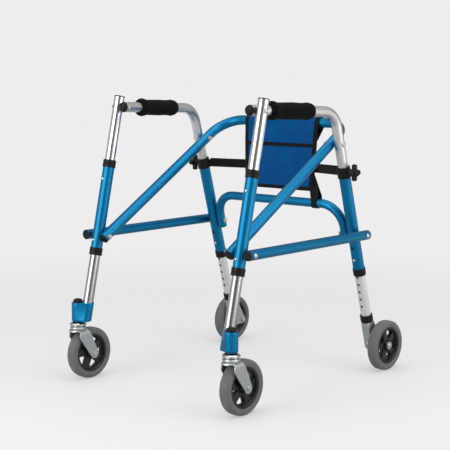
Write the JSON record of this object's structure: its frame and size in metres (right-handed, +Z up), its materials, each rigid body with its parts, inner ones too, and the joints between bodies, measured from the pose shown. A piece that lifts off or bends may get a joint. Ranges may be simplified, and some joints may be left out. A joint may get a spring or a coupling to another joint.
{
  "type": "walker",
  "caption": "Child's reverse walker: a tube frame open at the front, with swivelling front wheels, fixed rear wheels, foam hand grips and a fabric back panel.",
  "frame": {"origin": "on the floor, midway between the two sides and midway between the front and rear axles", "axes": "+Z up, +Y to the rear where the back panel is, +X to the user's left; the open front faces -Y"},
  "size_m": [0.5558, 0.679, 0.6979],
  "materials": {
    "anodised_blue": "blue anodised, satin bright",
    "polished_tube": "polished",
    "satin_tube": "satin, clear anodised",
    "zinc_steel": "zinc plated, pressed",
    "chrome_fastener": "bright plated",
    "black_plastic": "moulded, satin",
    "black_foam": "closed-cell foam",
    "grey_tyre": "solid, smooth tread",
    "blue_fabric": "woven, padded",
    "black_webbing": "woven webbing"
  },
  "bodies": {
    "frame": {"cross_frame": "anodised_blue", "rear_arch": "anodised_blue", "back_panel": "blue_fabric", "cross_strap": "black_webbing", "left_front_leg": "anodised_blue", "left_rear_leg": "anodised_blue", "left_front_post": "polished_tube", "left_handle_tube": "satin_tube", "left_hand_grip": "black_foam", "left_front_upper_collar": "black_plastic", "left_front_lower_collar": "black_plastic", "left_rear_lower_collar": "black_plastic", "left_rear_clamp": "black_plastic", "left_side_rail": "anodised_blue", "left_cross_bolt": "chrome_fastener", "left_front_rail_bolt": "chrome_fastener", "left_rear_rail_bolt": "chrome_fastener", "right_front_leg": "anodised_blue", "right_rear_leg": "anodised_blue", "right_front_post": "polished_tube", "right_handle_tube": "satin_tube", "right_hand_grip": "black_foam", "right_front_upper_collar": "black_plastic", "right_front_lower_collar": "black_plastic", "right_rear_lower_collar": "black_plastic", "right_rear_clamp": "black_plastic", "right_side_rail": "anodised_blue", "right_cross_bolt": "chrome_fastener", "right_front_rail_bolt": "chrome_fastener", "right_rear_rail_bolt": "chrome_fastener"},
    "left_knob": {"left_clamp_knob": "black_plastic"},
    "left_front_slider": {"left_front_extension": "polished_tube", "left_caster_block": "anodised_blue"},
    "left_caster": {"left_caster_fork": "zinc_steel", "left_front_axle": "zinc_steel"},
    "left_front_wheel": {"left_front_tyre": "grey_tyre", "left_front_hub": "black_plastic"},
    "left_rear_slider": {"left_rear_extension": "satin_tube", "left_wheel_bracket": "zinc_steel", "left_rear_axle": "zinc_steel"},
    "left_rear_wheel": {"left_rear_tyre": "grey_tyre", "left_rear_hub": "black_plastic"},
    "left_post_snap": {"left_post_button": "chrome_fastener"},
    "left_front_snap": {"left_front_button": "chrome_fastener"},
    "left_rear_snap": {"left_rear_button": "chrome_fastener"},
    "right_knob": {"right_clamp_knob": "black_plastic"},
    "right_front_slider": {"right_front_extension": "polished_tube", "right_caster_block": "anodised_blue"},
    "right_caster": {"right_caster_fork": "zinc_steel", "right_front_axle": "zinc_steel"},
    "right_front_wheel": {"right_front_tyre": "grey_tyre", "right_front_hub": "black_plastic"},
    "right_rear_slider": {"right_rear_extension": "satin_tube", "right_wheel_bracket": "zinc_steel", "right_rear_axle": "zinc_steel"},
    "right_rear_wheel": {"right_rear_tyre": "grey_tyre", "right_rear_hub": "black_plastic"},
    "right_post_snap": {"right_post_button": "chrome_fastener"},
    "right_front_snap": {"right_front_button": "chrome_fastener"},
    "right_rear_snap": {"right_rear_button": "chrome_fastener"}
  },
  "joints": [
    {"name": "left_front_slide", "type": "slide", "parent": "frame", "child": "left_front_slider", "axis": [0, 0.2229, 0.9748], "range_m": [-0.0318, 0.0318]},
    {"name": "left_caster_swivel", "type": "hinge", "parent": "left_front_slider", "child": "left_caster", "pos_m": [0.25, -0.31053, 0.128], "axis": [0, 0, 1], "continuous": true},
    {"name": "left_front_spin", "type": "hinge", "parent": "left_caster", "child": "left_front_wheel", "pos_m": [0.25, -0.27603, 0.0635], "axis": [1, 0, 0], "continuous": true},
    {"name": "left_rear_slide", "type": "slide", "parent": "frame", "child": "left_rear_slider", "axis": [0, -0.2709, 0.9626], "range_m": [-0.0318, 0.0318]},
    {"name": "left_rear_spin", "type": "hinge", "parent": "left_rear_slider", "child": "left_rear_wheel", "pos_m": [0.259, 0.27603, 0.0635], "axis": [1, 0, 0], "continuous": true},
    {"name": "left_knob_turn", "type": "hinge", "parent": "frame", "child": "left_knob", "pos_m": [0.252, 0.12684, 0.51399], "axis": [1, 0, 0], "range_deg": [0, 360]},
    {"name": "left_post_press", "type": "slide", "parent": "frame", "child": "left_post_snap", "axis": [0, 0.9748, -0.2229], "range_m": [0, 0.0035], "stiffness_N_per_m": 1500, "springref_m": -0.002},
    {"name": "left_front_press", "type": "slide", "parent": "frame", "child": "left_front_snap", "axis": [0, 0.9748, -0.2229], "range_m": [0, 0.0035], "stiffness_N_per_m": 1500, "springref_m": -0.002},
    {"name": "left_rear_press", "type": "slide", "parent": "frame", "child": "left_rear_snap", "axis": [0, 0.9626, 0.2709], "range_m": [0, 0.0035], "stiffness_N_per_m": 1500, "springref_m": -0.002},
    {"name": "right_front_slide", "type": "slide", "parent": "frame", "child": "right_front_slider", "axis": [0, 0.2229, 0.9748], "range_m": [-0.0318, 0.0318]},
    {"name": "right_caster_swivel", "type": "hinge", "parent": "right_front_slider", "child": "right_caster", "pos_m": [-0.25, -0.31053, 0.128], "axis": [0, 0, 1], "continuous": true},
    {"name": "right_front_spin", "type": "hinge", "parent": "right_caster", "child": "right_front_wheel", "pos_m": [-0.25, -0.27603, 0.0635], "axis": [1, 0, 0], "continuous": true},
    {"name": "right_rear_slide", "type": "slide", "parent": "frame", "child": "right_rear_slider", "axis": [0, -0.2709, 0.9626], "range_m": [-0.0318, 0.0318]},
    {"name": "right_rear_spin", "type": "hinge", "parent": "right_rear_slider", "child": "right_rear_wheel", "pos_m": [-0.259, 0.27603, 0.0635], "axis": [1, 0, 0], "continuous": true},
    {"name": "right_knob_turn", "type": "hinge", "parent": "frame", "child": "right_knob", "pos_m": [-0.252, 0.12684, 0.51399], "axis": [-1, 0, 0], "range_deg": [0, 360]},
    {"name": "right_post_press", "type": "slide", "parent": "frame", "child": "right_post_snap", "axis": [0, 0.9748, -0.2229], "range_m": [0, 0.0035], "stiffness_N_per_m": 1500, "springref_m": -0.002},
    {"name": "right_front_press", "type": "slide", "parent": "frame", "child": "right_front_snap", "axis": [0, 0.9748, -0.2229], "range_m": [0, 0.0035], "stiffness_N_per_m": 1500, "springref_m": -0.002},
    {"name": "right_rear_press", "type": "slide", "parent": "frame", "child": "right_rear_snap", "axis": [0, 0.9626, 0.2709], "range_m": [0, 0.0035], "stiffness_N_per_m": 1500, "springref_m": -0.002}
  ]
}
